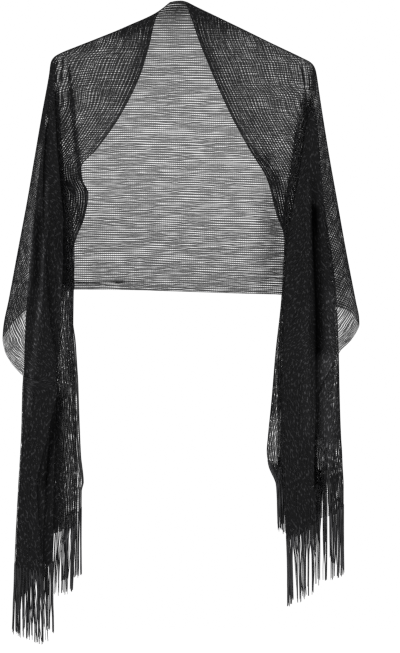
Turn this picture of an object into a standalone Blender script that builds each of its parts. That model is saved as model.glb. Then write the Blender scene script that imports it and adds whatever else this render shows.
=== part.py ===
"""Evening stole: one long sheer cloth with a fringe at each end, hung open over the shoulders.

The cloth is modelled where it hangs, as walls that follow it from the back, over the shoulders and
down into two pleated tails. Sizes are in millimetres: "drop" is how far a point lies below the rest
at the nape, and "out" is how far it lies from the middle of the back. -Y is the front.
"""
import math

import bmesh
import bpy

MM = 0.001

WALL = 1.2  # thickness of the cloth's wall
SEAM = 0.5  # between the edges of pieces that meet, where their walls come about 0.3 apart
HEADER_GAP = 0.7  # the same along the slanted end of the weave
APEX = -9.0  # drop of the back's neck edge, above the nape rest
NAPE_RISE = 3.0  # how far the neck edge stands up at the middle of the back
NAPE_FADE = 40.0  # how far below the neck edge that rise has gone
FRINGE_LENGTH = 96.0
SELVEDGE_TUCK = 55.0  # how far below the side corner the outer selvedge has come round to the front
FREE_LEVEL = 110.0  # how far below the side corner all the pleats hang free and show their widths
EVEN_FOLD = 10.0  # an overlap this long or longer is a full hairpin fold
HAIRPIN = 1.5  # how round a full fold turns, by the pitch and the layers that meet at it
SIDE_ROUND = 0.8  # radius of a front where it comes round to the side, as a share of "turn"
CREASE_TAPER = 0.7  # how soon a long crease reaches its depth; 1 is a plain sine
CREASE_FADE = 12.0  # how near the side a long crease starts to fade out
TILT_STEP = 2.0  # drop over which the slope of the turn line is taken

# How the hollow form stands off from the shoulder line, to the back, to the front and at the side
# (+ is back). "turn" is how far in from the side the cloth has come round, and "pitch" is the step
# from one layer of a pleat to the next.
DEPTH_COLUMNS = "drop back front side turn pitch"
DEPTH = (
    (-9, 30, -24, 0, 18, 0.8),
    (50, 38, -32, 0, 18, 1.2),
    (90, 46, -40, 0, 20, 1.6),
    (140, 54, -48, 0, 26, 3.0),
    (200, 61, -55, -2, 36, 4.6),
    (300, 69, -62, -6, 46, 6.0),
    (400, 76, -66, -8, 56, 6.4),
    (500, 80, -68, -10, 60, 6.6),
    (700, 80, -69, -10, 60, 6.8),
    (960, 80, -70, -10, 60, 6.8),
)

# The line where the back's cloth turns over to the front: along the shoulder, round its tip and
# down the side to the corner, where the outer selvedge crosses it and tucks in to the tail.
TURN_COLUMNS = "drop out"
TURN_LEFT = (
    (-9, 15), (-2, 23), (7, 35.5), (15, 51), (24, 72), (34, 95), (46, 125), (58, 155.5),
    (68, 180), (74, 189.5), (82, 194), (100, 196.5), (158, 207), (226, 218.5), (288, 229),
    (363, 243), (436, 256.5), (480, 265), (496, 266), (513, 262.5), (530, 253), (551, 234),
)
TURN_RIGHT = (
    (-9, 11), (-2, 24.5), (10, 49.5), (31, 93), (54, 140), (75, 184), (81, 195.5), (87, 201),
    (95, 204), (106, 206), (120, 208), (160, 214), (228, 225), (287, 235.5), (358, 248),
    (441, 264), (464, 268.5), (475, 269), (483, 266), (498, 256), (513, 240),
)
CORNER = {"left": 496.0, "right": 475.0}

# The inner selvedge, which is the front opening's edge.
EDGE_COLUMNS = "drop out"
EDGE_LEFT = (
    (-9, 12), (10, 33), (37, 41.5), (48, 43.5), (78, 51.5), (100, 58.5), (160, 87.5), (213, 124),
    (240, 147), (256, 146), (280, 137.5), (315, 144), (354, 157.5), (384, 159.5), (405, 157.5),
    (424, 158), (468, 159), (558, 150.5), (622, 149), (670, 147), (710, 143.5), (724, 146.5),
    (960, 147.5),
)
EDGE_RIGHT = (
    (-9, 7), (0, 11), (18, 17.5), (52, 29), (80, 40), (110, 52.5), (160, 75), (214, 104),
    (258, 130), (310, 144), (342, 155), (363, 157), (384, 157), (410, 155), (458, 150.5),
    (517, 147), (600, 145.5), (960, 145.5),
)

# The back's lower selvedge, from the middle out to the corner, by its share of the way out.
HEM_COLUMNS = "share drop"
HEM_LEFT = ((0, 425), (0.35, 422.5), (0.62, 422), (0.74, 430), (0.88, 451), (0.95, 471), (1, 496))
HEM_RIGHT = ((0, 425), (0.35, 428), (0.6, 430), (0.74, 435), (0.88, 447), (0.96, 457), (1, 475))

# Where the pleats turn: the cloth zigzags from the inner selvedge out to "ab", back in to "bc", out
# again to "cd" and so on, each layer in front of the one before. The left tail has eight layers and
# the right tail five.
PLEAT_COLUMNS_LEFT = "drop ab bc cd de ef fg gh"
PLEATS_LEFT = (
    (100, 178, 183, 185.5, 188, 190.5, 192.5, 194.5),
    (138, 190, 180, 192, 187, 194, 196, 199),
    (198, 201, 176.5, 202.5, 184, 204, 201, 207),
    (258, 208.5, 171, 210, 179, 211.5, 204, 214),
    (318, 214.5, 160, 216, 174, 217.5, 204, 220.5),
    (378, 220.5, 157, 222, 174, 223.5, 200, 225.5),
    (438, 226, 158.5, 226.5, 177, 228, 196, 230),
    (495, 228, 159, 229.5, 180, 231, 190, 235),
    (530, 230, 157.5, 230.5, 182, 232, 184, 236),
    (552, 231, 156.5, 231, 184, 232.5, 184, 233.5),
    (570, 231, 156, 231, 184, 233, 190, 234.5),
    (633, 232, 154.5, 232, 185, 234.5, 194, 236),
    (723, 234.5, 153.5, 236, 188, 239.5, 200, 241),
    (828, 237, 158, 240, 189, 244, 204, 246),
    (960, 240, 165, 242, 189, 247, 204, 249),
)
PLEAT_COLUMNS_RIGHT = "drop ab bc cd de"
PLEATS_RIGHT = (
    (106, 176, 184, 191, 198),
    (146, 199, 182, 201, 194),
    (198, 205, 171.5, 207.5, 186),
    (258, 209, 164.5, 212, 177),
    (318, 214.5, 157, 219, 166),
    (378, 220.5, 154.5, 228, 158),
    (438, 228, 151, 234, 156),
    (517, 231, 142.5, 237, 154),
    (588, 229, 136.5, 238.5, 152),
    (644, 224, 131, 240.5, 150),
    (663, 222, 129.5, 241.8, 150),
    (685, 220, 132.5, 242.7, 151),
    (715, 218, 144, 244.2, 153),
    (805, 216, 147, 244.2, 159),
    (960, 214, 151, 241, 164),
)

# The free end of the outer selvedge below the corner, where it lies over the pleats.
SELVEDGE_COLUMNS = "drop out"
SELVEDGE_LEFT = (
    (551, 234), (560, 210), (570, 182), (583, 184), (618, 192), (654, 200), (684, 208),
    (714, 213), (780, 209), (853, 203), (960, 195),
)
SELVEDGE_RIGHT = ((513, 240), (545, 222), (580, 206), (663, 204), (800, 203), (960, 202))

# Troughs (+) and ridges (-) that run down through all the layers of a front.
FOLD_COLUMNS = "top bottom out_top out_bottom width depth"
FOLDS_LEFT = (
    (110, 560, 196, 222, 9, -4),
    (140, 470, 178, 190, 10, 5),
)
FOLDS_RIGHT = (
    (215, 640, 196, 202, 8, 13),
    (260, 760, 172, 176, 14, -5),
)

# The end of the weave, at the inner and at the outer selvedge.
HEADER = {"left": (754.0, 853.0), "right": (678.0, 800.0)}

# Rows run from the apex (0) down the shoulder and the side to the corner (1), closest together round
# the shoulder's tip. The back and the fronts share them, so that they meet evenly.
SIDE_ROWS = (
    0, 0.014, 0.03, 0.048, 0.071, 0.099, 0.127, 0.15, 0.168, 0.188, 0.216, 0.265, 0.335,
    0.414, 0.473, 0.525, 0.576, 0.636, 0.701, 0.78, 0.859, 0.929, 1,
)
SHOULDER_END = 0.335  # the row at which a shoulder's cloth goes over into its tail
BELOW_CORNER = (16, 34, 54, 68, 88, 122, 164)  # further rows of a tail, below its corner
HEADER_ROWS = 3  # rows between the last of those and the slanted end of the weave
FRINGE_ROWS = 3
BACK_SHARES = (0, 0.2, 0.4, 0.58, 0.72, 0.83, 0.9, 0.95, 0.985, 1)  # columns, middle to side
FOLD_STEPS = (0, 0.08, 0.3, 0.7, 0.92)  # places along one layer, close together at its folds
SMOOTH_STEPS = (0, 0.5)  # the same on the shoulder, where the folds are still shallow

STOLE_BLACK = (0.012, 0.012, 0.013, 1.0)
FRINGE_BLACK = (0.014, 0.014, 0.015, 1.0)


def slopes(xs, ys):
    """Slopes of a smooth curve through the points that never overshoots them."""
    steps = [(ys[i + 1] - ys[i]) / (xs[i + 1] - xs[i]) for i in range(len(xs) - 1)]
    middle = [
        2 * a * b / (a + b) if a * b > 0 else 0.0 for a, b in zip(steps, steps[1:])
    ]
    return [steps[0]] + middle + [steps[-1]]


def curve(columns, rows):
    """Turns a table into one smooth function of its first column for each other column."""
    names = columns.split()
    xs = [row[0] for row in rows]

    def reader(ys):
        tangents = slopes(xs, ys)

        def read(x):
            x = min(max(x, xs[0]), xs[-1])
            i = max(k for k in range(len(xs) - 1) if xs[k] <= x)
            width = xs[i + 1] - xs[i]
            t = (x - xs[i]) / width
            return hermite(ys[i], ys[i + 1], tangents[i] * width, tangents[i + 1] * width, t)

        return read

    return {name: reader([row[i] for row in rows]) for i, name in enumerate(names) if i}


def hermite(a, b, slope_a, slope_b, t):
    """Smooth run from a to b, with a slope given at each end."""
    return (
        a * (1 - t) ** 2 * (1 + 2 * t)
        + b * t * t * (3 - 2 * t)
        + slope_a * t * (1 - t) ** 2
        - slope_b * t * t * (1 - t)
    )


def ease(t):
    """Soft step from 0 to 1."""
    t = min(max(t, 0.0), 1.0)
    return t * t * (3 - 2 * t)


def arch(t):
    """Rise of a quarter round: 0 at its edge, 1 from its top on."""
    t = min(max(t, 0.0), 1.0)
    return math.sqrt(1 - (1 - t) ** 2)


class Side:
    """One half of the stole: the shapes that its tables give."""

    def __init__(self, name, sign, turn, edge, hem, pleats, selvedge, folds):
        self.name, self.sign = name, sign
        self.corner = CORNER[name]
        self.depth = curve(DEPTH_COLUMNS, DEPTH)
        self.turn = curve(TURN_COLUMNS, turn)["out"]
        self.edge = curve(EDGE_COLUMNS, edge)["out"]
        self.hem = curve(HEM_COLUMNS, hem)["drop"]
        pleat_columns, pleat_rows = pleats
        self.pleats = list(curve(pleat_columns, pleat_rows).values())
        self.first_pleat = pleat_rows[0][0]
        self.selvedge = curve(SELVEDGE_COLUMNS, selvedge)["out"]
        self.selvedge_start = selvedge[0][0]
        self.folds = folds
        self.layers = len(self.pleats) + 1

    def point(self, out, depth, drop):
        return (self.sign * out * MM, depth * MM, -drop * MM)

    def tilt(self, drop):
        """How steep the turn line is at this drop, as a sine."""
        across = self.turn(drop + TILT_STEP) - self.turn(drop - TILT_STEP)
        return 2 * TILT_STEP / math.hypot(2 * TILT_STEP, across)

    def side_weight(self, drop):
        """1 where the cloth goes round the side, down to 0 where it ends at its selvedge."""
        return 1 - ease((drop - self.corner) / SELVEDGE_TUCK)

    def end(self, drop):
        """How far out a front's section ends."""
        if drop < self.selvedge_start:
            return self.turn(drop)
        return self.selvedge(drop)

    def rounded(self, face, out, drop):
        """Depth of the front or back face, which comes round to the side at the turn line."""
        flat = self.depth[face](drop)
        side = self.depth["side"](drop)
        level = min(drop, self.corner)
        inward = (self.turn(level) - out) * self.tilt(level)
        round_part = side + (flat - side) * arch(inward / self.depth["turn"](drop))
        weight = self.side_weight(drop)
        return flat + (round_part - flat) * weight

    def creased(self, out, drop):
        """What the long troughs and ridges add to the depth of a front."""
        total = 0.0
        for top, bottom, out_top, out_bottom, width, depth in self.folds:
            t = (drop - top) / (bottom - top)
            if 0 < t < 1:
                across = (out - out_top - (out_bottom - out_top) * t) / width
                along = math.sin(math.pi * t) ** CREASE_TAPER
                total += depth * along * math.exp(-across * across)
        return total

    def section_outs(self, drop):
        """How far out the inner edge, each pleat's turn and the end lie at this drop."""
        edge, end = self.edge(drop), self.end(drop)
        if drop >= self.first_pleat:
            return [edge] + [read(drop) for read in self.pleats] + [end]
        first = self.first_pleat
        span = self.end(first) - self.edge(first)
        shares = [(read(first) - self.edge(first)) / span for read in self.pleats]
        return [edge] + [edge + (end - edge) * share for share in shares] + [end]

    def front_point(self, drop, place):
        """A point of a front: place runs from 0 at the inner edge to the number of layers."""
        outs = self.section_outs(drop)
        last = self.layers
        pitch = self.depth["pitch"](drop)
        side_weight = self.side_weight(drop)
        depths = [
            self.rounded("front", out, drop) - pitch * max(i - 0.5, 0)
            for i, out in enumerate(outs[:-1])
        ]
        free_depth = self.depth["front"](drop) - pitch * (last - 1)
        depths.append(free_depth + (self.depth["side"](drop) - free_depth) * side_weight)

        def tangent(i):
            if i == 0:
                return outs[1] - outs[0], depths[1] - depths[0]
            if i == last:
                # straight back at the side, as strong as makes the curve this radius there
                reach = abs(outs[last] - outs[last - 1])
                radius = self.depth["turn"](drop) * self.tilt(drop) * SIDE_ROUND
                around = (0.0, math.sqrt(6 * radius * reach))
                free = (outs[last] - outs[last - 1], depths[last] - depths[last - 1])
                return tuple(f + (a - f) * side_weight for a, f in zip(around, free))
            before, after = outs[i] - outs[i - 1], outs[i + 1] - outs[i]
            along = (depths[i + 1] - depths[i - 1]) / 2
            if before * after > 0:
                return 2 * before * after / (before + after), along
            fold = min(abs(before), abs(after), EVEN_FOLD) / EVEN_FOLD
            hairpin = -math.sqrt(HAIRPIN * pitch * (abs(before) + abs(after)))
            return 0.0, along + (hairpin - along) * fold

        i = min(int(place), last - 1)
        t = place - i
        out_a, depth_a = tangent(i)
        out_b, depth_b = tangent(i + 1)
        out = hermite(outs[i], outs[i + 1], out_a, out_b, t)
        depth = hermite(depths[i], depths[i + 1], depth_a, depth_b, t)
        return self.point(out, depth + self.creased(out, drop) * self.inside(out, drop), drop)

    def inside(self, out, drop):
        """Fades the long folds out at the side, where the front meets the back."""
        if drop >= self.selvedge_start:
            return 1.0
        return ease((self.end(drop) - out) / CREASE_FADE)

    def level(self, row):
        """Drop of a row where it crosses the turn line."""
        return APEX + (self.corner - APEX) * row

    def back_point(self, row, share):
        """A point of the back, in a row and at a share of the way out to the side."""
        drop = APEX + (self.hem(share) - APEX) * row
        out = self.turn(drop) * share
        rise = NAPE_RISE * (1 - share * share) * max(1 - (drop - APEX) / NAPE_FADE, 0)
        return self.point(out, self.rounded("back", out, drop), drop - rise)

    def width_share(self, place):
        """Share of the cloth's width that lies inside this place, by the lengths of the layers."""
        outs = self.section_outs(self.corner + FREE_LEVEL)
        lengths = [abs(b - a) for a, b in zip(outs, outs[1:])]
        i = min(int(place), self.layers - 1)
        return (sum(lengths[:i]) + lengths[i] * (place - i)) / sum(lengths)

    def header(self, place):
        """Drop of the slanted end of the weave at this place."""
        inner, outer = HEADER[self.name]
        return inner + (outer - inner) * self.width_share(place)

    def places(self, steps):
        """Places from the inner edge to the end, with the same steps along every layer."""
        return [i + t for i in range(self.layers) for t in steps] + [self.layers]


LEFT = Side("left", -1, TURN_LEFT, EDGE_LEFT, HEM_LEFT, (PLEAT_COLUMNS_LEFT, PLEATS_LEFT),
            SELVEDGE_LEFT, FOLDS_LEFT)
RIGHT = Side("right", 1, TURN_RIGHT, EDGE_RIGHT, HEM_RIGHT, (PLEAT_COLUMNS_RIGHT, PLEATS_RIGHT),
             SELVEDGE_RIGHT, FOLDS_RIGHT)
SIDES = (LEFT, RIGHT)


def material(name, colour, roughness, metallic):
    made = bpy.data.materials.new(name)
    made.use_nodes = True
    shader = made.node_tree.nodes["Principled BSDF"]
    shader.inputs["Base Color"].default_value = colour
    shader.inputs["Roughness"].default_value = roughness
    shader.inputs["Metallic"].default_value = metallic
    return made


def wall(name, rows, colour, roughness=0.5, metallic=0.2):
    """A cloth wall: a grid of points in rows, thickened evenly to both sides."""
    mesh = bpy.data.meshes.new(name)
    grid = bmesh.new()
    verts = [[grid.verts.new(point) for point in row] for row in rows]
    for upper, lower in zip(verts, verts[1:]):
        for i in range(len(upper) - 1):
            grid.faces.new((upper[i], lower[i], lower[i + 1], upper[i + 1]))
    grid.normal_update()
    grid.to_mesh(mesh)
    grid.free()
    mesh.shade_smooth()
    made = bpy.data.objects.new(name, mesh)
    made.data.materials.append(material(name + "_cloth", colour, roughness, metallic))
    bpy.context.collection.objects.link(made)
    solid = made.modifiers.new("Wall", "SOLIDIFY")
    solid.thickness = WALL * MM
    solid.offset = 0
    solid.use_even_offset = False
    return made


def pulled_in(points, gap):
    """The same run of points, with its ends drawn in along it by a gap."""
    def drawn(a, b):
        length = math.dist(a, b)
        return tuple(x + (y - x) * gap * MM / length for x, y in zip(a, b))

    return [drawn(points[0], points[1])] + points[1:-1] + [drawn(points[-1], points[-2])]


def end_pulled_in(points, gap):
    return [points[0]] + pulled_in(points, gap)[1:]


def back():
    rows = []
    for row in SIDE_ROWS:
        left, right = ([side.back_point(row, share) for share in BACK_SHARES] for side in SIDES)
        rows.append(pulled_in(left[:0:-1] + right, SEAM / 2))
    return wall("back", rows, STOLE_BLACK)


def shoulder(side):
    places = side.places(SMOOTH_STEPS)
    levels = [side.level(row) for row in SIDE_ROWS[1:] if row < SHOULDER_END]
    levels.append(side.level(SHOULDER_END) - SEAM / 2)
    rows = [end_pulled_in([side.front_point(level, p) for p in places], SEAM / 2) for level in levels]
    return wall("shoulder_" + side.name, rows, STOLE_BLACK)


def tail(side):
    places = side.places(FOLD_STEPS)
    levels = [side.level(SHOULDER_END) + SEAM / 2]
    levels += [side.level(row) for row in SIDE_ROWS if row > SHOULDER_END]
    levels += [side.corner + below for below in BELOW_CORNER]
    drops = [[level] * len(places) for level in levels]
    for step in range(1, HEADER_ROWS + 1):
        t = step / HEADER_ROWS
        drops.append([levels[-1] * (1 - t) + side.header(p) * t for p in places])
    rows = [[side.front_point(d, p) for d, p in zip(row, places)] for row in drops]
    return wall("tail_" + side.name, [end_pulled_in(row, SEAM / 2) for row in rows], STOLE_BLACK)


def fringe(side):
    places = side.places(FOLD_STEPS)
    rows = []
    for step in range(FRINGE_ROWS + 1):
        reach = HEADER_GAP + (FRINGE_LENGTH - HEADER_GAP) * step / FRINGE_ROWS
        rows.append([side.front_point(side.header(p) + reach, p) for p in places])
    return wall("fringe_" + side.name, rows, FRINGE_BLACK, roughness=0.6)


def main():
    for old in list(bpy.data.objects):
        bpy.data.objects.remove(old, do_unlink=True)
    back()
    for side in SIDES:
        shoulder(side)
        tail(side)
        fringe(side)


main()
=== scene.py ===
import math
import random

import bpy
import numpy as np
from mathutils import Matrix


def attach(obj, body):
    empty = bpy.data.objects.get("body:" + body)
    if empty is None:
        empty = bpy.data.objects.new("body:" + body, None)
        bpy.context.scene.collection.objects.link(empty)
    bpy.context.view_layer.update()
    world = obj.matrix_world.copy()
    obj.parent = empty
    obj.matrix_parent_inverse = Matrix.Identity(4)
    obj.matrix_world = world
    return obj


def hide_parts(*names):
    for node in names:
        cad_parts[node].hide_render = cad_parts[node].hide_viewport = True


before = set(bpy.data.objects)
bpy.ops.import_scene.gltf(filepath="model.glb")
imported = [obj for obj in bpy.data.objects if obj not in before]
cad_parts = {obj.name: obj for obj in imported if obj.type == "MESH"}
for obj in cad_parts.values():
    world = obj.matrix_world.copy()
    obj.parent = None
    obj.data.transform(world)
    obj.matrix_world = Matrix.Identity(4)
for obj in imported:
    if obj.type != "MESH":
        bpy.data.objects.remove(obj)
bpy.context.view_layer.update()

# Sizes are in millimetres until a mesh is made. "drop" is how far a point lies below the rest at the
# nape and "out" is how far it lies from the middle of the back. The front is towards -Y.
mm = 0.001

cut = {"width": 460.0, "fringe": 96.0}  # the woven cloth's width, and the yarns left loose at each end

drape = {
    # how far the hollow form stands off to the back, to the front and at the side, how far in the
    # cloth has come round, and the step from one layer of a pleat to the next
    "form": (  # drop, back, front, side, turn and pitch
        (-9, 30, -24, 0, 18, 0.8), (50, 38, -32, 0, 18, 1.2), (90, 46, -40, 0, 20, 1.6),
        (140, 54, -48, 0, 26, 3.0), (200, 61, -55, -2, 36, 4.6), (300, 69, -62, -6, 46, 6.0),
        (400, 76, -66, -8, 56, 6.4), (500, 80, -68, -10, 60, 6.6), (700, 80, -69, -10, 60, 6.8),
        (960, 80, -70, -10, 60, 6.8),
    ),
    "apex": -9.0,  # drop of the neck edge
    "napeRise": 3.0,  # how far it stands up at the middle of the back
    "napeFade": 40.0,  # drop over which that rise fades out
    "tuck": 55.0,  # how far below the corner the outer selvedge has come round to the front
    "freeLevel": 110.0,  # how far below it all the pleats hang free
    "takeUp": 60.0,  # drop over which the pleats have taken up the width that is left over
    "foldWidth": 10.0,  # a layer narrower than this turns less sharply at its folds
    "hairpin": 1.5,  # how round a fold of a pleat is
    "roundSide": 6.0,  # how round the cloth comes over the side into the outermost layer,
    "sideReach": 0.8,  # and the share of that layer it takes
    "troughEnds": 0.7,  # how blunt the ends of a trough or ridge are
    "troughFade": 12.0,  # how near the turn line it fades out
    "cornerTop": (200, 100),  # drop at which the open corner's layer sets in, and over how many mm,
    "cornerBottom": (545, 40),  # and where it ends
}

# Both sides have the same tables. Those for one line give its drop, and how far out it lies there:
# "turn" where the cloth goes over the shoulder and round the side, "edge" the inner selvedge, and
# "selvedge" the outer one below the corner. "hem" gives the back's lower selvedge by the share of the
# way out. "pleats" gives a drop and the outs of all the folds, from the innermost layer outwards.

leftSide = {
    "sign": -1,
    "corner": 496.0,  # drop of the corner at the side
    "cornerFlat": 0.55,  # how much less cloth the open corner's layer takes up
    "strands": 300,
    "header": (  # share of the width from the inner selvedge, and drop of the end of the weave there
        (0, 754), (0.08, 768), (0.177, 790), (0.343, 777), (0.508, 812), (0.61, 836), (0.717, 836),
        (0.807, 853), (0.9, 838), (1, 853),
    ),
    "turn": (
        (-9, 15), (-2, 23), (7, 35.5), (15, 51), (24, 72), (34, 95), (46, 125), (58, 155.5),
        (68, 180), (74, 189.5), (82, 194), (100, 196.5), (158, 207), (226, 218.5), (288, 229),
        (363, 243), (436, 256.5), (480, 265), (496, 266), (513, 262.5), (530, 253), (551, 234),
    ),
    "edge": (
        (-9, 12), (10, 33), (37, 41.5), (48, 43.5), (78, 51.5), (100, 58.5), (160, 87.5), (213, 124),
        (240, 147), (256, 146), (280, 136.5), (315, 142.5), (350, 156), (368, 160), (390, 158.5),
        (418, 157), (430, 160), (468, 159.5), (500, 155.6), (530, 153.6), (560, 151.7), (590, 150.7),
        (622, 149.6), (670, 147.5), (710, 143.5), (724, 146.5), (960, 147.5),
    ),
    "hem": ((0, 425), (0.35, 422.5), (0.62, 422), (0.74, 430), (0.88, 451), (0.95, 471), (1, 496)),
    "pleats": (
        (100, 178, 183, 185.5, 188, 190.5, 192.5, 194.5), (138, 190, 180, 192, 187, 194, 196, 199),
        (198, 201, 176.5, 202.5, 184, 204, 201, 207), (258, 208.5, 171, 210, 179, 211.5, 204, 214),
        (318, 214.5, 160, 216, 174, 217.5, 204, 220.5), (378, 220.5, 157, 222, 174, 223.5, 200, 225.5),
        (438, 226, 158.5, 226.5, 177, 228, 196, 230), (495, 228, 159, 229.5, 180, 231, 190, 235),
        (530, 230, 157.5, 230.5, 182, 232, 184, 236), (552, 231, 156.5, 231, 184, 232.5, 184, 233.5),
        (570, 231, 156, 231, 184, 233, 190, 234.5), (633, 232, 154.5, 232, 185, 234.5, 194, 236),
        (723, 234.5, 153.5, 236, 188, 239.5, 200, 241), (828, 237, 158, 240, 189, 244, 204, 246),
        (960, 240, 165, 242, 189, 247, 204, 249),
    ),
    "selvedge": (
        (551, 234), (560, 210), (570, 182), (583, 184), (618, 192), (654, 200), (684, 208),
        (714, 213), (780, 209), (853, 203), (960, 195),
    ),
    "widthAtTurn": (  # drop, and how much of the cloth's width lies above the turn line there
        (-9, 0), (0, 10), (8, 18), (15, 25), (31, 50), (45, 79), (58, 103), (69, 118), (81, 122),
        (100, 121), (120, 131), (158, 184), (198, 238), (258, 300), (318, 345), (378, 388),
        (438, 425), (480, 450), (496, 460),
    ),
    "slant": (  # drop, and the sine of the long yarns' slant where the front lies flat
        (-9, 0.7), (15, 0.9), (45, 0.96), (100, 0.86), (138, 0.82), (160, 0.82), (198, 0.83),
        (240, 0.86), (300, 1.0),
    ),
    "folds": (  # top bottom outTop outBottom width depth: troughs (+) and ridges (-)
        (110, 560, 196, 222, 9, -4),
        (140, 470, 178, 190, 10, 5),
    ),
    "creases": (  # width, how much closer (+) or looser (-) the yarns lie, and drop and out along it
        (3.6, 0.36, ((78, 167), (95, 166), (147, 161), (211, 154.5), (240, 151), (268, 145))),
        (3.6, 0.36, ((125, 185), (175, 183), (213, 183), (240, 182), (270, 177), (310, 173), (420, 172))),
        (9.5, 0.17, ((120, 172), (190, 169), (240, 166), (300, 161))),
        (8, 0.46, ((70, 191), (88, 190.5), (112, 190), (150, 190))),
        (7, 0.36, ((86, 197), (110, 198), (150, 203), (210, 211))),
        (7, -0.05, ((545, 164), (600, 164), (700, 163), (800, 163))),
        (6, -0.08, ((235, 165), (325, 165))),
        (7, 0.2, ((560, 181), (700, 181), (800, 182))),
        (6, -0.15, ((415, 178), (510, 178), (550, 180))),
        (1.4, -0.55, ((66, 177), (92, 181), (124, 184))),
        (1.3, -0.4, ((68, 171.5), (90, 171), (112, 171))),
        (1.3, 0.35, ((66, 174), (92, 176), (124, 179))),
    ),
    # top, bottom, how far in from the inner selvedge, and the share of light let through
    "bands": ((240, 345, 60, 0.45), (345, 1200, 12, 0.7), (60, 170, 80, 1.13)),
    "atShoulder": 0.16,  # how much closer the yarns lie where they go over the shoulder
    "sideBand": (  # drop, and how much less light comes through the side
        (100, 0), (160, 0.4), (260, 0.42), (420, 0.43), (460, 0.44), (500, 0.26), (530, 0.2), (560, 0),
    ),
    "lowOut": 400,  # further out than this the yarns of the low end lie closer
    "paintedLightShade": (  # inner and outer width, how much painted highlight (+) or painted shade (-), and drop and out along it
        (1.8, 1.8, 2.4, ((250, 198), (280, 199), (320, 201.2), (358, 202.8), (397, 205),
                         (436, 207.2), (470, 211))),
        (3.6, 3.6, 1.5, ((430, 207), (475, 211.8), (514, 215.5), (553, 221.5), (592, 225), (620, 228))),
        (5, 5, -0.6, ((575, 179), (592, 181), (631, 187), (670, 194.5), (709, 201), (730, 204))),
        (5.5, 5.5, -0.32, ((300, 213), (342, 213.5), (381, 214.5), (438, 220), (480, 223))),
        (5, 5, -0.35, ((300, 208), (320, 209), (358, 211.7), (397, 212.5), (430, 214))),
        (7, 7, -0.45, ((325, 169), (358, 168), (397, 167), (430, 167))),
        (3.5, 3.5, 0.6, ((370, 181), (397, 180.5), (436, 179), (485, 178))),
        (4, 4, -0.4, ((200, 175), (320, 175))),
        (8, 8, 1.2, ((412, 169), (530, 169))),
        (3, 3, 2.5, ((300, 223), (360, 223), (400, 226), (440, 228))),
        # painted highlight over the outer selvedge, which crosses the tail here, lightening the shade along
        # its edge
        (10, 10, 0.75, ((532, 306.6), (585.5, 114))),
        (16, 16, 0.4, ((525, 306.6), (578.5, 114))),
    ),
    "partings": (  # out and half width of a gap between the fringe's strands, and its top and bottom
        (165.5, 1.8, 765, 880), (214.5, 1.8, 845, 896), (194, 1.2, 840, 890), (230, 1.1, 860, 960),
        (178.5, 1.5, 790, 960), (222, 1.2, 845, 960), (207, 1.2, 870, 960), (201, 1.1, 870, 960),
        (191.5, 1.6, 888, 960), (236, 1.2, 872, 960), (218, 1.1, 905, 960), (246, 1.1, 868, 955),
    ),
}

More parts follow.
